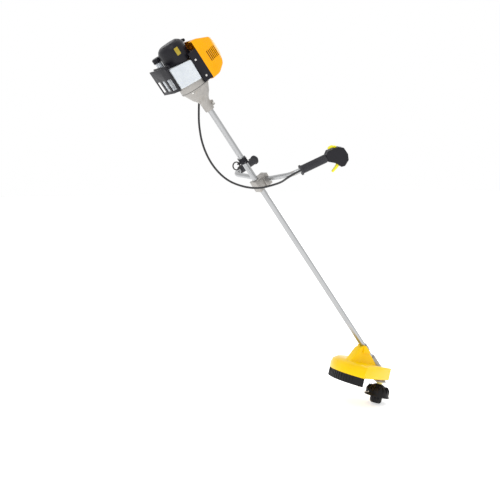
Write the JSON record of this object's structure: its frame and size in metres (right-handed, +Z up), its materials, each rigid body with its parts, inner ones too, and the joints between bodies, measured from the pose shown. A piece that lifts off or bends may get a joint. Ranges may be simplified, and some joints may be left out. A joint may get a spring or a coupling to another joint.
{
  "type": "string trimmer",
  "caption": "Petrol string trimmer: rear engine with fuel tank, straight shaft, bullhorn handlebar with throttle grip, guard and bump-feed cutting head.",
  "frame": {"origin": "centre of the harness eye, the ring that the shoulder strap's hook goes through", "axes": "+Z up, +X forward, the way the operator faces, +Y to the operator's left; the shaft lies in the XZ plane and runs 53 degrees nose-down"},
  "size_m": [1.4089, 0.6601, 1.7287],
  "materials": {
    "black_plastic": "fine texture",
    "brass": "turned",
    "bulb_clear": "soft clear",
    "cable_black": "smooth jacket",
    "cast_alloy": "as cast, matte",
    "ceramic_plug": "plated with ceramic",
    "grip_rubber": "ribbed",
    "guard_yellow": "moulded, semi gloss",
    "head_black": "moulded",
    "heat_black": "heat paint",
    "lever_yellow": "moulded",
    "nylon_line": "clear nylon",
    "oil_bush": "rubber sleeve",
    "steel": "machined",
    "tank_white": "translucent",
    "tube_alloy": "satin drawn tube",
    "yellow_cover": "moulded, semi gloss",
    "zinc_screw": "zinc plated"
  },
  "bodies": {
    "frame": {"shaft_tube": "tube_alloy", "shaft_bushes": "oil_bush", "clutch_housing": "cast_alloy", "drum_bearing": "steel", "fan_housing": "cast_alloy", "crankcase_front": "cast_alloy", "crankcase_rear": "cast_alloy", "crank_bearings": "steel", "cylinder": "cast_alloy", "spark_plug": "ceramic_plug", "plug_cap": "cable_black", "muffler": "heat_black", "side_shroud": "black_plastic", "top_cover": "yellow_cover", "engine_screws": "zinc_screw", "fuel_tank": "tank_white", "tank_guard": "black_plastic", "carburettor": "cast_alloy", "air_filter_cover": "black_plastic", "starter_housing": "black_plastic", "hanger_clamp": "black_plastic", "handle_bracket": "cast_alloy", "handle_cap": "cast_alloy", "clamp_bolts": "zinc_screw", "handlebar_left": "tube_alloy", "handlebar_right": "tube_alloy", "left_grip": "grip_rubber", "right_grip": "grip_rubber", "throttle_shell_inner": "black_plastic", "throttle_shell_outer": "black_plastic", "throttle_cable": "cable_black", "gearbox_housing": "cast_alloy", "gearbox_bearings": "steel", "guard": "guard_yellow", "guard_skirt": "head_black", "line_cutter": "steel", "guard_clamp": "cast_alloy"},
    "drive_line": {"drive_shaft": "steel", "clutch_drum": "steel", "pinion_gear": "steel"},
    "crank": {"crankshaft": "steel", "clutch_shoes": "steel", "flywheel": "cast_alloy"},
    "piston": {"piston": "cast_alloy"},
    "fuel_cap": {"fuel_cap": "black_plastic"},
    "primer_bulb": {"primer_bulb": "bulb_clear"},
    "choke_lever": {"choke_lever": "lever_yellow"},
    "starter_pulley": {"starter_pulley": "head_black"},
    "pull_handle": {"pull_handle": "black_plastic"},
    "hanger_ring": {"hanger_ring": "heat_black"},
    "throttle_trigger": {"throttle_trigger": "lever_yellow"},
    "lockout_lever": {"lockout_lever": "lever_yellow"},
    "stop_switch": {"stop_switch": "heat_black"},
    "head": {"output_spindle": "steel", "flange_washers": "brass", "head_housing": "head_black", "bump_spring": "steel", "cutting_lines": "nylon_line"},
    "bump_knob": {"line_spool": "head_black", "bump_knob": "head_black"}
  },
  "joints": [
    {"name": "head_spin", "type": "hinge", "parent": "frame", "child": "head", "pos_m": [0.83797, 0, -1.0439], "axis": [0.2588, 0, 0.9659], "continuous": true},
    {"name": "drive_spin", "type": "hinge", "parent": "frame", "child": "drive_line", "pos_m": [-0.12854, 0, 0.23871], "axis": [0.6018, 0, -0.7986], "continuous": true},
    {"name": "crank_spin", "type": "hinge", "parent": "frame", "child": "crank", "pos_m": [-0.12854, 0, 0.23871], "axis": [0.6018, 0, -0.7986], "continuous": true},
    {"name": "piston_stroke", "type": "slide", "parent": "frame", "child": "piston", "axis": [-0.7986, 0, -0.6018], "range_m": [0, 0.03]},
    {"name": "fuel_cap_turn", "type": "hinge", "parent": "frame", "child": "fuel_cap", "pos_m": [-0.35059, 0.054, 0.437], "axis": [-0.6018, 0, 0.7986], "range_deg": [0, 90]},
    {"name": "primer_press", "type": "slide", "parent": "frame", "child": "primer_bulb", "axis": [0.7986, 0, 0.6018], "range_m": [0, 0.004]},
    {"name": "choke_swing", "type": "hinge", "parent": "frame", "child": "choke_lever", "pos_m": [-0.20425, 0.113, 0.46214], "axis": [0, 1, 0], "range_deg": [0, 55]},
    {"name": "starter_pull", "type": "slide", "parent": "frame", "child": "pull_handle", "axis": [0.7986, 0, 0.6018], "range_m": [0, 0.05]},
    {"name": "pulley_turn", "type": "hinge", "parent": "frame", "child": "starter_pulley", "pos_m": [-0.12854, 0, 0.23871], "axis": [0.6018, 0, -0.7986], "range_deg": [0, 108.16]},
    {"name": "ring_swing", "type": "hinge", "parent": "frame", "child": "hanger_ring", "pos_m": [0.01358, 0, 0.01023], "axis": [0.6018, 0, -0.7986], "range_deg": [-40, 40]},
    {"name": "trigger_squeeze", "type": "hinge", "parent": "frame", "child": "throttle_trigger", "pos_m": [0.32638, -0.31188, 0.02712], "axis": [0.2487, 0.9503, 0.1874], "range_deg": [0, 18], "stiffness_Nm_per_rad": 0.05, "springref_deg": -20.05},
    {"name": "lockout_press", "type": "hinge", "parent": "frame", "child": "lockout_lever", "pos_m": [0.31014, -0.31637, 0.0714], "axis": [-0.2487, -0.9503, -0.1874], "range_deg": [0, 4], "stiffness_Nm_per_rad": 0.05, "springref_deg": -17.19},
    {"name": "switch_slide", "type": "slide", "parent": "frame", "child": "stop_switch", "axis": [0.4548, 0.0563, -0.8888], "range_m": [0, 0.004]},
    {"name": "bump_press", "type": "slide", "parent": "head", "child": "bump_knob", "axis": [0.2588, 0, 0.9659], "range_m": [0, 0.006], "stiffness_N_per_m": 900, "springref_m": -0.006}
  ],
  "couplings": [
    {"joint": "drive_spin", "follows": "head_spin", "ratio": -1.3571},
    {"joint": "pulley_turn", "follows": "starter_pull", "rad_per_m": 37.736}
  ]
}
